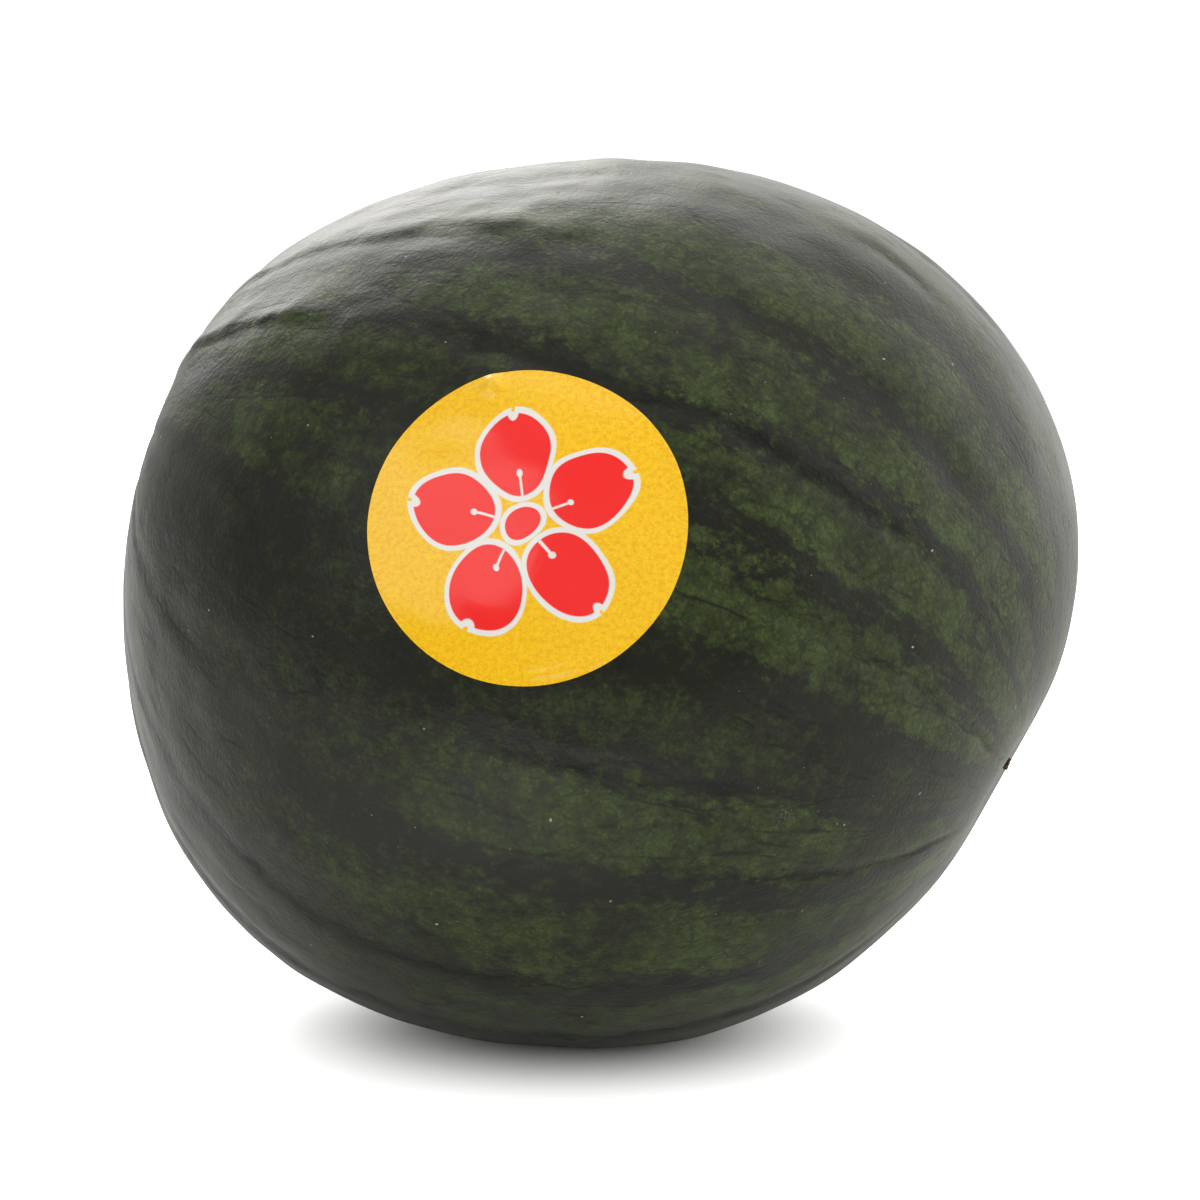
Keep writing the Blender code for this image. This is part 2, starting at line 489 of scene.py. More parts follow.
def label_sheet(settings, surface, material):
    """A round sheet of paper that spans the rind's small ripples, with creases at its edge."""
    middle = place_on_rind(LABEL_FROM_BLOSSOM_END, LABEL_AZIMUTH)
    across = Vector((0.0, 0.0, 1.0)).cross(middle).normalized()
    upward = middle.cross(across)
    rind_here = rind_radius(surface, middle)

    shape = bmesh.new()
    uv = shape.loops.layers.uv.new("print")
    bmesh.ops.create_circle(
        shape, cap_ends=True, segments=LABEL_SEGMENTS, radius=settings.radius
    )
    shape.faces.ensure_lookup_table()
    inner = shape.faces[0]
    for _ in range(LABEL_RINGS - 1):
        bmesh.ops.inset_individual(
            shape, faces=[inner], thickness=settings.radius / LABEL_RINGS
        )
    bmesh.ops.poke(shape, faces=[inner])
    for face in shape.faces:
        for loop in face.loops:
            flat = loop.vert.co / (2 * settings.radius)
            loop[uv].uv = (flat.x + 0.5, flat.y + 0.5)

    directions = {}
    for vertex in shape.verts:
        flat = vertex.co.copy()
        arc = flat.length / rind_here
        heading = (across * flat.x + upward * flat.y).normalized()
        directions[vertex] = middle * math.cos(arc) + heading * math.sin(arc)
    rind = {vertex: rind_radius(surface, directions[vertex]) for vertex in shape.verts}
    spanned = dict(rind)
    for _ in range(LABEL_SMOOTHING):
        spanned = {vertex: mean_of_neighbours(vertex, spanned) for vertex in shape.verts}
    for vertex in shape.verts:
        lifted = label_creases(vertex.co.x / settings.radius, vertex.co.y / settings.radius)
        under = max(rind[vertex], spanned[vertex]) + LABEL_CLEARANCE + lifted
        vertex.co = CORE + directions[vertex] * under
    bmesh.ops.recalc_face_normals(shape, faces=shape.faces[:])
    if sum(face.normal.dot(middle) for face in shape.faces) < 0:
        bmesh.ops.reverse_faces(shape, faces=shape.faces[:])
    bmesh.ops.solidify(shape, geom=shape.faces[:], thickness=-settings.thickness)
    bmesh.ops.recalc_face_normals(shape, faces=shape.faces[:])
    label = mesh_object("label", shape, material)
    label.data.set_sharp_from_angle(angle=LABEL_SHARP_CORNER)
    return label


def mean_of_neighbours(vertex, values):
    others = [values[edge.other_vert(vertex)] for edge in vertex.link_edges]
    return sum(others) / len(others)


def label_creases(x, y):
    """How far the paper stands off at a place of the label, given in label radii."""
    from_middle = math.hypot(x, y)
    heading = math.degrees(math.atan2(y, x))
    lifted = 0.0
    for crease in LABEL_CREASES:
        along = (heading - crease.heading) / crease.spread
        across = (from_middle - crease.reach) / crease.width
        lifted += crease.height * math.exp(-(along ** 2) - across ** 2)
    return lifted


def along_profile(profile, share):
    """The (radius, height) at a share of the way along a profile's length."""
    spans = [math.dist(*pair) for pair in zip(profile, profile[1:])]
    left = share * sum(spans)
    for (start, end), span in zip(zip(profile, profile[1:]), spans):
        if left <= span:
            part = left / span
            return [a + (b - a) * part for a, b in zip(start, end)]
        left -= span
    return profile[-1]


def end_piece(name, shares, radius, height, relief, outwards, material):
    """A closed solid turned round Z from a profile, given as shares of a radius and a height,
    then roughened by a relief and stood on the rind."""
    profile = [(reach * radius, up * height) for reach, up in shares]
    shape = bmesh.new()
    bmesh.ops.create_uvsphere(
        shape, u_segments=END_SEGMENTS, v_segments=END_RINGS, radius=1.0
    )
    for vertex in shape.verts:
        azimuth = math.atan2(vertex.co.y, vertex.co.x)
        share = math.acos(max(-1.0, min(1.0, -vertex.co.z))) / math.pi
        reach, up = along_profile(profile, share)
        place = Vector((reach * math.cos(azimuth), reach * math.sin(azimuth), up))
        vertex.co = place + relief(place / radius, azimuth, reach / radius) * radius
    turn = outwards.to_track_quat("Z", "Y").to_matrix().to_4x4()
    seat = Matrix.Translation(CORE + outwards * rind_radius(rind_surface(), outwards))
    bmesh.ops.transform(shape, matrix=seat @ turn, verts=shape.verts)
    return mesh_object(name, shape, material)


def swells(azimuth, parts):
    return sum(part.height * math.cos(part.count * azimuth + part.turn) for part in parts)


def rough(place, kind):
    scale, falloff, step, octaves = kind
    return noise.fractal(place * scale, falloff, step, octaves)


def scar_relief(place, azimuth, reach):
    """Torn petal stumps round the rim, and a crumbling surface."""
    stumps = 0.5 + swells(azimuth, SCAR_STUMPS)
    crumbs = rough(place, CRUMBS)
    rim = math.exp(-(((reach - 0.85) / 0.25) ** 2))
    outwards = reach * 0.10 * (stumps + crumbs)
    upwards = rim * 0.20 * stumps + 0.08 * crumbs * min(1.0, 2 * reach)
    return Vector((math.cos(azimuth) * outwards, math.sin(azimuth) * outwards, upwards))


def stub_relief(place, azimuth, reach):
    """Five ridges and many fibres down the side, and a fibrous cut face."""
    along_side = Vector((4 * math.cos(azimuth), 4 * math.sin(azimuth), place.z * 0.8))
    top = max(0.0, min(1.0, place.z * 2 - 1.2))
    outwards = reach * 0.05 * (swells(azimuth, STUB_RIDGES) + rough(along_side, FIBRES))
    upwards = top * 0.07 * rough(place, TEARS)
    return Vector((math.cos(azimuth) * outwards, math.sin(azimuth) * outwards, upwards))


# The flecks keep clear of the lowest part of the rind, between these heights in metres.
FLECK_FREE = 0.004
FLECK_FULL = 0.010
SCATTER_SEED = 11
SIZE_SEED = 5
STRETCH_SEED = 6
FLECK_FLATNESS = 0.35


def fleck_tree():
    """Geometry nodes: tiny domes scattered over the rind, off its foot."""
    g, given = geometry_graph(
        "Flecks", Object=("Rind",), Float=("Density", "Radius"), Material=("Material",)
    )
    rind = g.add("GeometryNodeObjectInfo", {}, {"Object": given["Rind"]}, 4)
    _, _, height = g.split(g.add("GeometryNodeInputPosition"))
    density = given["Density"] * g.ramp(height, FLECK_FREE, FLECK_FULL)
    random = {"distribute_method": "RANDOM"}
    inputs = {"Mesh": rind, "Density": density, "Seed": SCATTER_SEED}
    points = g.add("GeometryNodeDistributePointsOnFaces", random, inputs, "Points")
    facing = Value(g, points.socket.node.outputs["Rotation"])
    inputs = {"Radius": given["Radius"], "Subdivisions": 2}
    dome = g.add("GeometryNodeMeshIcoSphere", {}, inputs)
    chance, stretch = (
        g.add("FunctionNodeRandomValue", {"data_type": "FLOAT"}, {"Seed": seed}, 1)
        for seed in (SIZE_SEED, STRETCH_SEED)
    )
    size = 0.45 + 1.5 * (chance ** 5.0)
    scale = g.join(size * (1.0 + stretch * 0.8), size, size * FLECK_FLATNESS)
    inputs = {"Rotation": facing, "Rotate By": g.join(0.0, 0.0, stretch * 40.0)}
    turned = g.add("FunctionNodeRotateRotation", {"rotation_space": "LOCAL"}, inputs)
    inputs = {"Points": points, "Instance": dome, "Rotation": turned, "Scale": scale}
    placed = g.add("GeometryNodeInstanceOnPoints", {}, inputs)
    finish_tree(g, placed, given["Material"])
    return g.tree


# --- materials


def material_graph(name):
    """A new material, its graph and its shader node."""
    material = bpy.data.materials.new(name)
    material.use_nodes = True
    shader = material.node_tree.nodes["Principled BSDF"]
    return material, Graph(material.node_tree), shader


def bump(g, height, distance):
    inputs = {"Strength": 1.0, "Distance": distance, "Height": height}
    return g.add("ShaderNodeBump", {}, inputs)


def object_space(g):
    return g.add("ShaderNodeTexCoord", {}, (), 3)


def band_curve():
    """Points of a curve over one turn: a plateau at each pale band, and 0 half way between."""
    turns = sorted(((azimuth / 360) % 1.0, strength) for azimuth, strength in PALE_BANDS)
    points = []
    for (here, strength), (after, next_strength) in zip(turns, turns[1:] + turns[:1]):
        gap = (after - here) % 1.0
        points.append(((here + 0.27 * gap) % 1.0, strength))
        points.append(((here + 0.50 * gap) % 1.0, 0.0))
        points.append(((here + 0.73 * gap) % 1.0, next_strength))
    points.sort()
    first, last = points[0], points[-1]
    share = (1.0 - last[0]) / (1.0 - last[0] + first[0])
    seam = last[1] + (first[1] - last[1]) * share
    return [(0.0, seam), *points, (1.0, seam)]


# Spots on the rind: angle from the blossom end, azimuth, and how far the spot reaches.
Spot = namedtuple("Spot", "from_bloom azimuth reach")
SCUFF = Spot(math.radians(50.2), math.radians(95.7), 0.022)
SCRATCH = Spot(math.radians(111.4), math.radians(140.0), 0.05)
SCRATCH_LINE = math.radians(139.6)
SCRATCH_WIDTH = 0.0045

# Rings of corky skin round the two end pieces: angle from the core, and width.
BLOSSOM_RING = (math.radians(1.2), math.radians(0.8))
STEM_RING = (math.radians(2.2), math.radians(1.0))

# The stem side begins between these angles, and the low side between these azimuths.
STEMWARD = (math.radians(66), math.radians(122))
LOW_SIDE = (math.radians(68), math.radians(95))

# How far the bands' edges stray, slowly and raggedly, in radians round the core.
BROAD_STRAY = 0.20
RAGGED_STRAY = 0.27


def rind_material(settings):
    """Near-black green rind with mottled paler bands and fine dark veins, and a waxy sheen."""
    material, g, shader = material_graph("rind")
    lying = {"Vector": object_space(g), "Location": CORE, "Rotation": LYING}
    place = g.add("ShaderNodeMapping", {"vector_type": "TEXTURE"}, lying)
    direction = g.vector("NORMALIZE", place)
    from_bloom, azimuth = polar(g, direction)
    azimuth = wandering(g, direction, azimuth)
    stemward = g.ramp(from_bloom, *STEMWARD)

    broad = g.noise(streaks(g, direction, 0.3), 7.0, 2.0) - 0.5
    ragged = g.noise(streaks(g, direction, 0.7), 30.0, 5.0, 0.68) - 0.5
    strayed = azimuth + broad * BROAD_STRAY + ragged * RAGGED_STRAY
    turn = (strayed / FULL_TURN).math("FRACT")
    bands = g.add("ShaderNodeFloatCurve", {"curve": band_curve()}, {"Value": turn})
    patches = g.ramp(g.noise(direction, 4.0, 3.0, 0.6), 0.28, 0.58)
    low_side = g.ramp(azimuth, *LOW_SIDE)
    faded = stemward * (0.12 + 0.62 * low_side)
    bands = bands * (0.30 + 0.70 * patches) * (1.0 - faded)

    crumpled = g.warped(place, 600.0, 0.0028, 3.0)
    grain = 1.0 - g.cells(crumpled, 820.0) * 1.15
    mottle = g.noise(g.warped(place, 70.0, 0.007), 220.0, 6.0, 0.74)
    flecks = g.noise(place, 1300.0, 2.0, 0.6)
    paleness = bands * 0.68 + (mottle - 0.5) * 1.8 + (grain - 0.5) * 0.30
    pale = g.ramp(paleness, -0.02, 0.78)
    bright = g.ramp(paleness + (flecks - 0.5) * 1.4, 0.50, 1.02)

    veins = vein_mask(g, direction, place, from_bloom, azimuth, pale)
    base = g.blend(pale, settings.dark_colour, settings.pale_colour)
    base = g.blend(bright * 0.75, base, settings.bright_colour)
    base = g.blend(veins, base, settings.vein_colour)

    scuff = near_spot(g, direction, SCUFF)
    scuff = scuff * g.ramp(g.noise(place, 1500.0, 3.0, 0.7), 0.52, 0.62)
    base = g.blend(scuff * 0.55, base, settings.scuff_colour)
    shaky = (g.noise(place, 300.0, 2.0) - 0.5) * 0.02
    off_line = (azimuth - SCRATCH_LINE + shaky) / SCRATCH_WIDTH
    scratch = near_spot(g, direction, SCRATCH) * g.bell(off_line)
    scratch = scratch * g.ramp(mottle, 0.38, 0.50)
    base = g.blend(scratch * 0.8, base, settings.cork_colour)

    rings = end_ring(g, from_bloom, BLOSSOM_RING)
    rings = rings + end_ring(g, math.pi - from_bloom, STEM_RING)
    corky = g.ramp(rings * (0.5 + mottle), 0.25, 0.9)
    base = g.blend(corky * 0.8, base, settings.cork_colour)
    g.feed(shader, "Base Color", base)

    gloss = settings.roughness + (mottle - 0.5) * 0.12 + veins * 0.08 + corky * 0.25
    g.feed(shader, "Roughness", gloss)
    g.feed(shader, "IOR", settings.wax_ior)

    leather = g.noise(g.warped(place, 90.0, 0.006), 170.0, 3.0, 0.5)
    pores = g.noise(place, 1300.0, 2.0, 0.5)
    relief = leather * (0.16 + 0.24 * stemward) + grain * 0.12 + pores * 0.05 - veins * 0.12
    g.feed(shader, "Normal", bump(g, relief, settings.pebble_height))
    return material


def near_spot(g, direction, spot):
    """1 in the middle of a spot of the rind, falling to 0 round it."""
    middle = own_direction(spot.from_bloom, spot.azimuth)
    return g.bell(g.vector("DISTANCE", direction, middle, output=1) / spot.reach)


def end_ring(g, angle, ring):
    """1 on a ring round an end of the core, falling to 0 on both sides."""
    middle, width = ring
    return g.bell((angle - middle) / width)


def vein_mask(g, direction, place, from_bloom, azimuth, pale):
    """Thin dark veins: one down each furrow, a net drawn out along the ribs, and hairlines
    that break up the pale mottling."""
    shaky = g.noise(streaks(g, direction, 0.6), 22.0, 4.0, 0.6) - 0.5
    line_azimuth = azimuth + shaky * VEIN_SHAKE
    lines = 0.0
    for furrow in FURROWS:
        if furrow.width > VEINED_WIDTH:
            continue
        narrow = furrow._replace(width=VEIN_WIDTH, depth=1.0, step=0.0)
        lines = lines + furrow_profile(g, from_bloom, line_azimuth, narrow)
    broken = g.ramp(g.noise(streaks(g, direction, 0.5), 18.0, 3.0, 0.6), 0.34, 0.60)

    drawn_out = g.warped(streaks(g, direction, 0.34), 9.0, 0.10, 3.0)
    drawn_out = g.warped(drawn_out, 45.0, 0.022, 3.0)
    net = 1.0 - g.ramp(g.cells(drawn_out, 9.0, "DISTANCE_TO_EDGE"), 0.0, 0.075)
    where = g.ramp(g.noise(direction, 6.0, 2.0), 0.40, 0.62)
    crazed = g.warped(place, 240.0, 0.0062, 5.0)
    hairlines = 1.0 - g.ramp(g.cells(crazed, 170.0, "DISTANCE_TO_EDGE"), 0.0, 0.14)
    hairlines = hairlines * g.ramp(g.noise(place, 130.0, 2.0), 0.38, 0.60)
    veins = (lines * (0.35 + 0.65 * broken)).math("MAXIMUM", net * where * broken * 0.85)
    return veins.math("MAXIMUM", hairlines * 0.62 * (0.15 + 0.85 * pale)) * 0.9


# The blossom printed on the label, in label radii: half sizes of a petal and of its notch,
# the white line round it, the eye in the middle, and a stamen's thread and dot.
PETAL_COUNT = 5
PETAL_MIDDLE = 0.44
PETAL_LENGTH = 0.262
PETAL_WIDTH = 0.226
PETAL_LINE = 0.032
NOTCH_LENGTH = 0.075
NOTCH_WIDTH = 0.045
EYE_RADIUS = 0.105
BLOSSOM_TILT = math.radians(8)
STAMEN_COUNT = 10
THREAD_MIDDLE = 0.215
THREAD_REACH = 0.075
THREAD_WIDTH = 0.008
DOT_MIDDLE = 0.30
DOT_RADIUS = 0.020
PRINT_BLUR = 0.004

# The varnish, and the height of the paper's grain in metres.
VARNISH_IOR = 1.46
COAT_WEIGHT = 0.15
COAT_ROUGHNESS = 0.10
PAPER_RELIEF = 0.00002


def label_material(settings):
    """Varnished gold paper printed with a red five-petal blossom in a white line."""
    material, g, shader = material_graph("label")
    uv = g.add("ShaderNodeUVMap", {"uv_map": "print"})
    across, upward, _ = g.split(g.vector("MULTIPLY_ADD", uv, (2.0,) * 3, (-1.0,) * 3))
    flat = g.warped(g.join(across, upward, 0.0), 2.4, 0.12, 0.0)
    across, upward, _ = g.split(flat)
    reach = g.vector("LENGTH", flat, output=1)
    heading = upward.math("ARCTAN2", across) - math.pi / 2 - BLOSSOM_TILT

    folded = repeated(heading, PETAL_COUNT)
    along = reach * folded.math("COSINE") - PETAL_MIDDLE
    aside = reach * folded.math("SINE")
    narrow = 1.0 - along * 0.55
    petal = oval(g, along, aside / (0.6 + 0.4 / narrow), PETAL_LENGTH, PETAL_WIDTH)
    notch = oval(g, along - PETAL_LENGTH * 1.12, aside, NOTCH_LENGTH, NOTCH_WIDTH)
    blossom = petal.math("MAXIMUM", -notch).math("MINIMUM", reach - EYE_RADIUS)
    red = inked(g, blossom)
    line = inked(g, blossom - PETAL_LINE)

    side = (reach * repeated(heading, STAMEN_COUNT).math("SINE")).math("ABSOLUTE")
    end = (reach - THREAD_MIDDLE).math("ABSOLUTE") - THREAD_REACH
    thread = (side - THREAD_WIDTH).math("MAXIMUM", end)
    dot = g.vector("LENGTH", g.join(reach - DOT_MIDDLE, side, 0.0), output=1) - DOT_RADIUS
    stamens = inked(g, thread.math("MINIMUM", dot))

    paper = g.noise(uv, 60.0, 4.0, 0.72)
    grit = g.noise(uv, 190.0, 2.0, 0.5)
    mottle = g.ramp(paper * 0.65 + grit * 0.35, 0.41, 0.63)
    ground = g.blend(mottle, settings.gold_colour, settings.grain_colour)
    speckle = g.ramp(grit, 0.35, 0.8) * 0.25
    ink = g.blend(speckle, settings.red_colour, settings.speckle_colour)
    print_colour = g.blend(line, ground, settings.line_colour)
    print_colour = g.blend(red, print_colour, ink)
    print_colour = g.blend(stamens * red, print_colour, settings.line_colour)
    g.feed(shader, "Base Color", print_colour)
    g.feed(shader, "Roughness", settings.roughness + (grit - 0.5) * 0.05)
    g.feed(shader, "IOR", VARNISH_IOR)
    g.feed(shader, "Coat Weight", COAT_WEIGHT)
    g.feed(shader, "Coat Roughness", COAT_ROUGHNESS)
    g.feed(shader, "Normal", bump(g, paper + grit * 0.3, PAPER_RELIEF))
    return material


def repeated(heading, count):
    """A heading folded into one of equal shares of a turn, and 0 in its middle."""
    share = FULL_TURN / count
    return (heading + share / 2).math("FLOORED_MODULO", share) - share / 2


def inked(g, outside):
    """1 where the distance outside a printed shape is below 0, with a slightly soft edge."""
    return 1.0 - g.ramp(outside, -PRINT_BLUR, PRINT_BLUR)


def oval(g, along, aside, half_length, half_width):
    """About the distance outside an oval's edge, below 0 inside it."""
    spread = g.vector("LENGTH", g.join(along / half_length, aside / half_width, 0.0), output=1)
    return (spread - 1.0) * min(half_length, half_width)


# Height of the relief of the end pieces' dry matter, in metres.
DRY_RELIEF = 0.00025


def dry_material(name, ridge_colour, crevice_shade_colour, dark_share):
    """Dead plant matter: dull, pale on the ridges and dark in the crevices as painted shade."""
    material, g, shader = material_graph(name)
    place = object_space(g)
    coarse = g.noise(place, 900.0, 4.0, 0.6)
    fine = g.noise(place, 3600.0, 3.0, 0.6)
    # Painted shade: the colour darkens with the relief, towards the crevices.
    shade = g.ramp(coarse * 0.75 + fine * 0.25 - 0.12 * dark_share, 0.34, 0.60)
    g.feed(shader, "Base Color", g.blend(shade, crevice_shade_colour, ridge_colour))
    g.feed(shader, "Roughness", 0.92 - shade * 0.15)
    g.feed(shader, "Normal", bump(g, coarse + fine * 0.5, DRY_RELIEF))
    return material


def fleck_material(settings):
    """Chalky dust and lichen-like flecks, some paler than others."""
    material, g, shader = material_graph("fleck")
    place = object_space(g)
    kind = g.ramp(g.noise(place, 140.0, 2.0), 0.35, 0.65)
    powder = g.noise(place, 5000.0, 2.0)
    pale = g.blend(kind, settings.brown_colour, settings.fleck_colour)
    g.feed(shader, "Base Color", g.blend(powder * 0.6, pale, settings.powder_colour))
    g.feed(shader, "Roughness", 0.75 + powder * 0.2)
    return material


# --- settings


def length(name, description, default):
    return FloatProperty(
        name=name, description=description, default=default, unit="LENGTH", precision=5
    )


def colour(name, description, default):
    return FloatVectorProperty(
        name=name, description=description, default=default, subtype="COLOR", size=3,
        min=0.0, max=1.0,
    )


def number(name, description, default):
    return FloatProperty(name=name, description=description, default=default)


class RindSettings(bpy.types.PropertyGroup):
    """Sizes and colours of the rind."""

    mean_radius: length("Mean Radius", "Radius of the sphere the fruit grew from", 0.119)
    segments: IntProperty(name="Segments", description="Faces round the core", default=480)
    rings: IntProperty(name="Rings", description="Faces from end to end", default=200)
    furrow_depth: length("Furrow Depth", "Depth of a full furrow between ribs", 0.0009)
    wave_height: length("Wave Height", "Height of the slow unevenness of the rind", 0.0022)
    ripple_height: length("Ripple Height", "Height of the ripples along the ribs", 0.00055)
    pebble_height: length("Pebble Height", "Height of the finest relief", 0.0005)
    roughness: number("Roughness", "Roughness of the waxy skin", 0.36)
    wax_ior: number("Wax IOR", "Refractive index of the waxy skin", 1.31)
    dark_colour: colour("Dark", "Rind between the bands", (0.0118, 0.0130, 0.0086))
    pale_colour: colour("Pale", "Mottling in the bands", (0.034, 0.0495, 0.0130))
    bright_colour: colour("Bright", "Palest spots in the bands", (0.060, 0.088, 0.024))
    vein_colour: colour("Vein", "Fine dark veins", (0.0040, 0.0044, 0.0034))
    cork_colour: colour("Cork", "Corky skin next to the ends", (0.14, 0.10, 0.045))
    scuff_colour: colour("Scuff", "Dry scuffs", (0.17, 0.17, 0.14))


class LabelSettings(bpy.types.PropertyGroup):
    """Size and colours of the round label."""

    radius: length("Radius", "Radius of the label", 0.0385)
    thickness: length("Thickness", "Thickness of the paper", 0.0002)
    gold_colour: colour("Gold", "Ground of the print", (0.94, 0.600, 0.014))
    grain_colour: colour("Grain", "Fine mottle of the ground", (0.86, 0.415, 0.010))
    red_colour: colour("Red", "Petals", (0.90, 0.022, 0.020))
    speckle_colour: colour("Speckle", "Fine speckle of the petals", (0.95, 0.06, 0.05))
    line_colour: colour("Line", "Line round the petals", (0.80, 0.79, 0.77))
    roughness: number("Roughness", "Roughness of the varnished paper", 0.15)


class EndSettings(bpy.types.PropertyGroup):
    """Sizes and colours of the dry remains at the two ends."""

    scar_radius: length("Scar Radius", "Radius of the blossom scar", 0.0015)
    scar_height: length("Scar Height", "Height of the blossom scar", 0.0013)
    stub_radius: length("Stub Radius", "Radius of the stem stub where it flares", 0.0041)
    stub_length: length("Stub Length", "Length of the stem stub", 0.0048)
    cork_colour: colour("Cork", "Blossom scar", (0.36, 0.14, 0.035))
    # Painted shade in the crevices of the blossom scar.
    scar_crevice_shade: colour("Cork Crevice Shade", "Crevices of the blossom scar", (0.012, 0.009, 0.007))
    straw_colour: colour("Straw", "Fibres of the stem stub", (0.30, 0.22, 0.11))
    # Painted shade in the furrows of the stem stub.
    stub_furrow_shade: colour("Stub Furrow Shade", "Furrows of the stem stub", (0.055, 0.038, 0.018))


class FleckSettings(bpy.types.PropertyGroup):
    """Size, number and colour of the pale flecks on the rind."""

    radius: length("Radius", "Radius of a middling fleck", 0.00022)
    density: number("Density", "Flecks on a square metre of rind", 1500.0)
    fleck_colour: colour("Fleck", "Colour of the flecks", (0.30, 0.29, 0.24))
    brown_colour: colour("Brown", "Colour of the darker flecks", (0.16, 0.12, 0.07))
    powder_colour: colour("Powder", "Powder on the flecks", (0.45, 0.44, 0.40))


class StageSettings(bpy.types.PropertyGroup):
    """The floor, the lights and the camera."""

    floor_width: length("Floor Width", "Width of the table top", 3.2)
    floor_front: length("Floor Front", "From the fruit to the front edge of the table", 0.36)
    floor_back: length("Floor Back", "From the fruit to the back edge of the table", 1.4)
    floor_colour: colour("Floor", "Colour of the table top", (0.88, 0.88, 0.88))
    # Painted light: the table top glows only for the camera and in the rind's reflection,
    # darker round the fruit as painted shade.
    painted_floor_glow: number("Floor Glow", "Painted glow of the table top, for the camera and the rind's reflection", 1.2)
    camera_distance: length("Camera Distance", "From the camera to the fruit", 1.25)
    camera_elevation: number("Camera Elevation", "Degrees above level", 9.0)
    lens: number("Lens", "Focal length in millimetres on a 36 mm sensor", 145.8)
    back_power: number("Back Power", "Watts of the large light above and behind", 7.4)
    fill_power: number("Fill Power", "Watts of the matte fill light at the front", 6.5)
    side_power: number("Side Power", "Watts of the panel at the left", 3.4)
    exposure: number("Exposure", "Brightness of the picture in stops", 0.16)
    light_colour: colour("Light", "Colour of the lights", (1.0, 0.985, 0.955))


# --- operators


class BuildRind(bpy.types.Operator):
    """Make the fruit itself"""

    bl_idname = "melon.build_rind"
    bl_label = "Build Rind"

    def execute(self, context):
        settings = context.scene.melon_rind
        rind = baked("rind", rind_tree(), settings, material=rind_material(settings))
        settle(rind, "watermelon_body")
        return {"FINISHED"}


class BuildLabel(bpy.types.Operator):
    """Make the round paper label that follows the rind"""

    bl_idname = "melon.build_label"
    bl_label = "Build Label"

    def execute(self, context):
        settings = context.scene.melon_label
        label = label_sheet(settings, rind_surface(), label_material(settings))
        settle(label, "round_label")
        return {"FINISHED"}


class BuildBlossomScar(bpy.types.Operator):
    """Make the dry remains of the blossom at the right-hand end"""

    bl_idname = "melon.build_blossom_scar"
    bl_label = "Build Blossom Scar"

    def execute(self, context):
        settings = context.scene.melon_ends
        material = dry_material("dry_cork", settings.cork_colour, settings.scar_crevice_shade, 1.0)
        outwards = place_on_rind(SCAR_FROM_CORE, 0.0)
        size = (settings.scar_radius, settings.scar_height)
        scar = end_piece("scar", SCAR_PROFILE, *size, scar_relief, outwards, material)
        settle(scar, "blossom_scar")
        return {"FINISHED"}


class BuildStemStub(bpy.types.Operator):
    """Make the stub of the stem at the upper-left end"""

    bl_idname = "melon.build_stem_stub"
    bl_label = "Build Stem Stub"

    def execute(self, context):
        settings = context.scene.melon_ends
        material = dry_material("dry_stem", settings.straw_colour, settings.stub_furrow_shade, 0.2)
        outwards = place_on_rind(math.pi, 0.0)
        size = (settings.stub_radius, settings.stub_length)
        stub = end_piece("stub", STUB_PROFILE, *size, stub_relief, outwards, material)
        settle(stub, "stem_stub")
        return {"FINISHED"}


class BuildFlecks(bpy.types.Operator):
    """Scatter tiny pale flecks over the rind"""

    bl_idname = "melon.build_flecks"
    bl_label = "Build Flecks"

    def execute(self, context):
        settings = context.scene.melon_flecks
        others = {"rind": bpy.data.objects["rind"], "material": fleck_material(settings)}
        flecks = baked("flecks", fleck_tree(), settings, **others)
        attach(flecks, ROOT)
        return {"FINISHED"}


class BuildStage(bpy.types.Operator):
    """Make the floor, the lights and the camera"""

    bl_idname = "melon.build_stage"
    bl_label = "Build Stage"

    def execute(self, context):
        settings = context.scene.melon_stage
        build_floor(settings)
        build_lights(settings)
        build_world(settings)
        build_camera(settings)
        context.scene.view_settings.view_transform = "Standard"
        context.scene.view_settings.exposure = settings.exposure
        return {"FINISHED"}


# Painted light on the table top: it glows where it is open to the sky within SHADE_REACH
# metres, fully from FULL_GLOW on, so that it is darker round the fruit as a painted shadow.
# The camera sees a share of the glow. The rind mirrors only that of an apron in front of the
# fruit, as a painted reflection: middle and reach, to the right and to the back.
SHADE_REACH = 0.10
FULL_GLOW = 0.54
SEEN_GLOW = 0.62
APRON_RIGHT = (-0.055, 0.085)
APRON_BACK = (-0.20, 0.06)
FLOOR_ROUGHNESS = 0.9
FLOOR_SPECULAR = 0.1


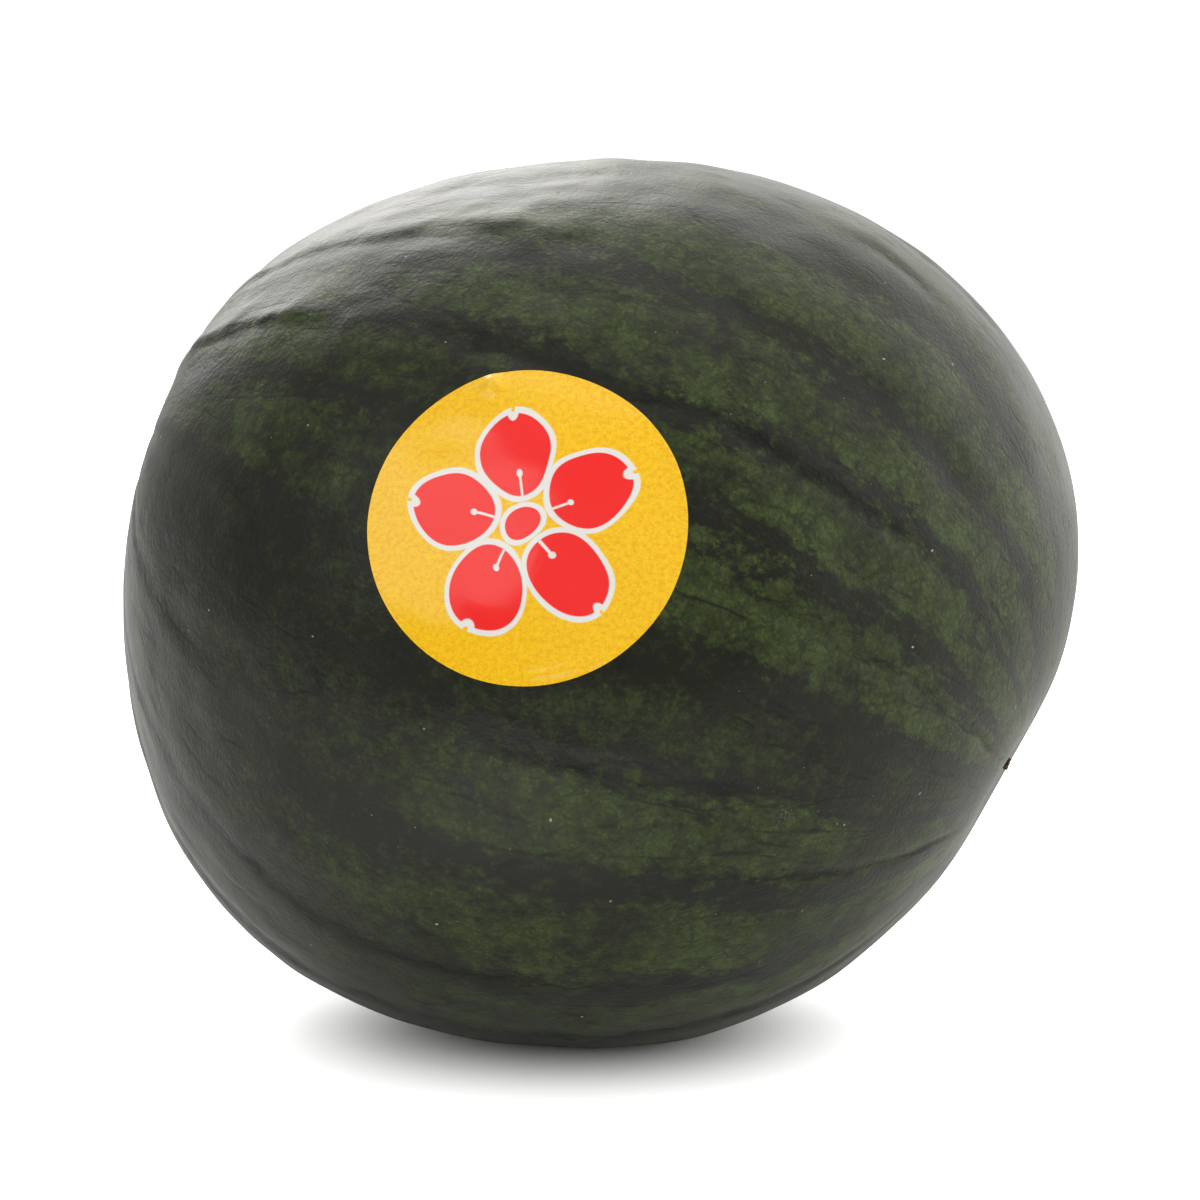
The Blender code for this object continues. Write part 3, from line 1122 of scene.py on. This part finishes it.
def build_floor(settings):
    material, g, shader = material_graph("studio_floor")
    g.feed(shader, "Base Color", (*settings.floor_colour, 1.0))
    g.feed(shader, "Roughness", FLOOR_ROUGHNESS)
    g.feed(shader, "Specular IOR Level", FLOOR_SPECULAR)
    inputs = {"Distance": SHADE_REACH}
    openness = g.add("ShaderNodeAmbientOcclusion", {"samples": 8}, inputs, 1)
    apron = 1.0
    for place, (middle, reach) in zip(g.split(object_space(g)), (APRON_RIGHT, APRON_BACK)):
        apron = apron * g.bell((place - middle) / reach)
    seen = g.add("ShaderNodeLightPath", {}, (), "Is Camera Ray")
    mirrored = g.add("ShaderNodeLightPath", {}, (), "Is Glossy Ray")
    # Painted light: glow for camera rays and for glossy rays on the apron only, dimmed near the
    # fruit as a painted shadow.
    glow = g.ramp(openness, 0.0, FULL_GLOW) * (seen * SEEN_GLOW + mirrored * apron)
    g.feed(shader, "Emission Color", g.blend(glow, (0.0, 0.0, 0.0), (1.0, 1.0, 1.0)))
    g.feed(shader, "Emission Strength", settings.painted_floor_glow)
    depth = settings.floor_front + settings.floor_back
    shape = bmesh.new()
    bmesh.ops.create_grid(shape, x_segments=1, y_segments=1, size=0.5)
    bmesh.ops.scale(shape, vec=(settings.floor_width, depth, 1.0), verts=shape.verts)
    middle = (0.0, settings.floor_back - depth / 2, 0.0)
    bmesh.ops.translate(shape, vec=middle, verts=shape.verts)
    mesh_object("studio_floor", shape, material)


# The lights: place and size, the setting that holds the power and the share of it that the
# light takes, and whether the rind mirrors it.
Lamp = namedtuple("Lamp", "name place size setting share mirrored")
LAMPS = (
    Lamp("back_softbox", (-0.44, 1.25, 0.95), (1.0, 1.1), "back_power", 1.0, True),
    Lamp("back_spread", (-0.30, 1.35, 0.98), (1.7, 1.3), "back_power", 0.65, True),
    Lamp("left_panel", (-0.70, -0.80, 0.62), (0.95, 0.85), "side_power", 1.0, True),
    Lamp("front_fill", (0.25, -1.40, 0.60), (1.4, 1.2), "fill_power", 1.0, False),
)


def build_lights(settings):
    """Two soft lights above and behind the fruit, one inside the other's outline, a panel at
    the front left, and a matte fill at the front."""
    for lamp in LAMPS:
        data = bpy.data.lights.new(lamp.name, "AREA")
        data.shape = "RECTANGLE"
        data.size, data.size_y = lamp.size
        data.energy = getattr(settings, lamp.setting) * lamp.share
        data.color = settings.light_colour
        light = bpy.data.objects.new(lamp.name, data)
        light.location = lamp.place
        towards = box_middle() - Vector(lamp.place)
        light.rotation_euler = towards.to_track_quat("-Z", "Y").to_euler()
        light.visible_camera = False
        light.visible_glossy = lamp.mirrored
        bpy.context.scene.collection.objects.link(light)


# How bright the surroundings are, as shares of white: dark at the front, dimmed at the left,
# and lifted overhead, at the right and at the back right. BACKDROP is what the camera sees.
DARK_FRONT = 0.19
LEFT_DIP = 0.52
TOP_LIFT = 0.30
RIGHT_LIFT = 0.50
BACK_RIGHT_LIFT = 0.55
BACKDROP = 1.02


def build_world(settings):
    """White surroundings that are dark at the front, as behind the camera in a studio."""
    world = bpy.data.worlds.new("studio")
    world.use_nodes = True
    bpy.context.scene.world = world
    g = Graph(world.node_tree)
    background = world.node_tree.nodes["Background"]
    around = g.add("ShaderNodeTexCoord", {}, (), 0)
    right, back, up = g.split(around)
    aside = (right * 0.75).math("MAXIMUM", right * -0.16)
    open_side = g.ramp(back + aside + up * 0.62, -0.35, 0.65)
    level = DARK_FRONT + (1.0 - DARK_FRONT) * open_side
    level = level * (1.0 - LEFT_DIP * g.ramp(-right, 0.15, 0.60))
    level = level + TOP_LIFT * g.ramp(up, 0.85, 1.0)
    level = level + RIGHT_LIFT * g.ramp(right, 0.45, 0.90)
    back_right = g.ramp(right, 0.05, 0.40) * g.ramp(back, 0.30, 0.80)
    level = level + BACK_RIGHT_LIFT * back_right
    seen = g.add("ShaderNodeLightPath", {}, (), "Is Camera Ray")
    shown = level + (BACKDROP - level) * seen
    tint = g.blend(seen, settings.light_colour, (1.0, 1.0, 1.0))
    g.feed(background, "Strength", shown)
    g.feed(background, "Color", tint)


def box_middle():
    low, high = CAD_BOX
    return (Vector(low) + Vector(high)) / 2


def build_camera(settings):
    data = bpy.data.cameras.new("camera")
    data.lens = settings.lens
    camera = bpy.data.objects.new("camera", data)
    aim = box_middle()
    tilt = math.radians(settings.camera_elevation)
    back_off = Vector((0.0, -math.cos(tilt), math.sin(tilt))) * settings.camera_distance
    camera.location = aim + back_off
    camera.rotation_euler = (-back_off).to_track_quat("-Z", "Y").to_euler()
    bpy.context.scene.collection.objects.link(camera)
    bpy.context.scene.camera = camera


class MelonPanel(bpy.types.Panel):
    """Lists a button for each piece and for the stage"""

    bl_idname = "VIEW3D_PT_melon"
    bl_label = "Watermelon"
    bl_space_type = "VIEW_3D"
    bl_region_type = "UI"
    bl_category = "Melon"

    def draw(self, context):
        for operator in OPERATORS:
            self.layout.operator(operator.bl_idname)


SETTINGS = {
    "melon_rind": RindSettings,
    "melon_label": LabelSettings,
    "melon_ends": EndSettings,
    "melon_flecks": FleckSettings,
    "melon_stage": StageSettings,
}
OPERATORS = (BuildRind, BuildLabel, BuildBlossomScar, BuildStemStub, BuildFlecks, BuildStage)
CLASSES = (*SETTINGS.values(), *OPERATORS, MelonPanel)


def register():
    for each in CLASSES:
        bpy.utils.register_class(each)
    for name, group in SETTINGS.items():
        setattr(bpy.types.Scene, name, PointerProperty(type=group))


def unregister():
    for name in SETTINGS:
        delattr(bpy.types.Scene, name)
    for each in reversed(CLASSES):
        bpy.utils.unregister_class(each)


def main():
    register()
    bpy.ops.melon.build_rind()
    bpy.ops.melon.build_label()
    bpy.ops.melon.build_blossom_scar()
    bpy.ops.melon.build_stem_stub()
    bpy.ops.melon.build_flecks()
    bpy.ops.melon.build_stage()


if __name__ == "__main__":
    main()
